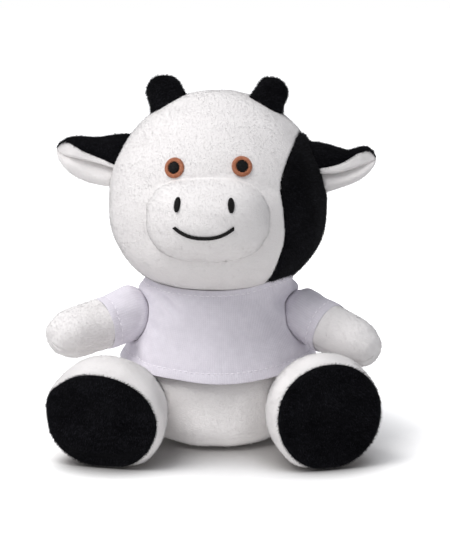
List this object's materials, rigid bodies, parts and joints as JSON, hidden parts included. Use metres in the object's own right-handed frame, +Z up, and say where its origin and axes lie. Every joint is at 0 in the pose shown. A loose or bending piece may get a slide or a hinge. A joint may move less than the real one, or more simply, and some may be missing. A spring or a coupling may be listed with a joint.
{
  "type": "plush cow",
  "caption": "Seated stuffed cow with black side panel, soles, horns and ears, embroidered face and short jersey shirt.",
  "frame": {"origin": "on the floor, in the flat seat under the torso, on the toy's middle line", "axes": "+Z up, the toy faces -Y, and +X is the toy's own left side; left and right in names are the toy's own"},
  "size_m": [0.1636, 0.1613, 0.1795],
  "materials": {
    "white_plush": "short dense white pile, matt",
    "black_plush": "short dense black pile with a soft sheen",
    "jersey": "fine white cotton jersey",
    "copper_thread": "copper-brown satin stitch",
    "black_thread": "black satin stitch"
  },
  "bodies": {
    "torso": {"torso": "white_plush", "shirt_body": "jersey"},
    "head": {"head": "white_plush", "head_panel": "black_plush", "muzzle": "white_plush", "mouth": "black_thread", "eye_ring_left": "copper_thread", "eye_ring_right": "copper_thread", "pupil_left": "black_thread", "pupil_right": "black_thread", "nostril_left": "black_thread", "nostril_right": "black_thread", "horn_left": "black_plush", "horn_right": "black_plush"},
    "ear_left": {"ear_back_left": "black_plush", "ear_lining_left": "white_plush"},
    "ear_right": {"ear_back_right": "black_plush", "ear_lining_right": "white_plush"},
    "arm_left": {"arm_left": "white_plush", "sleeve_left": "jersey"},
    "arm_right": {"arm_right": "white_plush", "sleeve_right": "jersey"},
    "leg_left": {"leg_left": "white_plush", "sole_left": "black_plush"},
    "leg_right": {"leg_right": "white_plush", "sole_right": "black_plush"},
    "tail": {"tail": "white_plush", "tail_tuft": "black_plush"}
  },
  "joints": [
    {"name": "head_turn", "type": "hinge", "parent": "torso", "child": "head", "pos_m": [0, -0.004, 0.075], "axis": [0, 0, 1], "range_deg": [-40, 40], "stiffness_Nm_per_rad": 0.1},
    {"name": "arm_left_raise", "type": "hinge", "parent": "torso", "child": "arm_left", "pos_m": [0.04415, -0.013, 0.061], "axis": [-0.6157, -0.788, 0], "range_deg": [-3, 50], "stiffness_Nm_per_rad": 0.03},
    {"name": "arm_right_raise", "type": "hinge", "parent": "torso", "child": "arm_right", "pos_m": [-0.04415, -0.013, 0.061], "axis": [-0.5299, 0.848, 0], "range_deg": [-3, 50], "stiffness_Nm_per_rad": 0.03},
    {"name": "leg_left_spread", "type": "hinge", "parent": "torso", "child": "leg_left", "pos_m": [0.04155, -0.03697, 0.022], "axis": [0, 0, 1], "range_deg": [-15, 8], "stiffness_Nm_per_rad": 0.06},
    {"name": "leg_right_spread", "type": "hinge", "parent": "torso", "child": "leg_right", "pos_m": [-0.04155, -0.03697, 0.022], "axis": [0, 0, -1], "range_deg": [-15, 8], "stiffness_Nm_per_rad": 0.06},
    {"name": "ear_left_flop", "type": "hinge", "parent": "head", "child": "ear_left", "pos_m": [0.05584, -0.00938, 0.13524], "axis": [-0.0958, -0.9954, 0], "range_deg": [-20, 40], "stiffness_Nm_per_rad": 0.01},
    {"name": "ear_right_flop", "type": "hinge", "parent": "head", "child": "ear_right", "pos_m": [-0.05504, 0.0013, 0.13765], "axis": [0.0958, 0.9954, 0], "range_deg": [-20, 40], "stiffness_Nm_per_rad": 0.01},
    {"name": "tail_swing", "type": "hinge", "parent": "torso", "child": "tail", "pos_m": [0, 0.03823, 0.024], "axis": [0, 0, 1], "range_deg": [-40, 40], "stiffness_Nm_per_rad": 0.01}
  ]
}
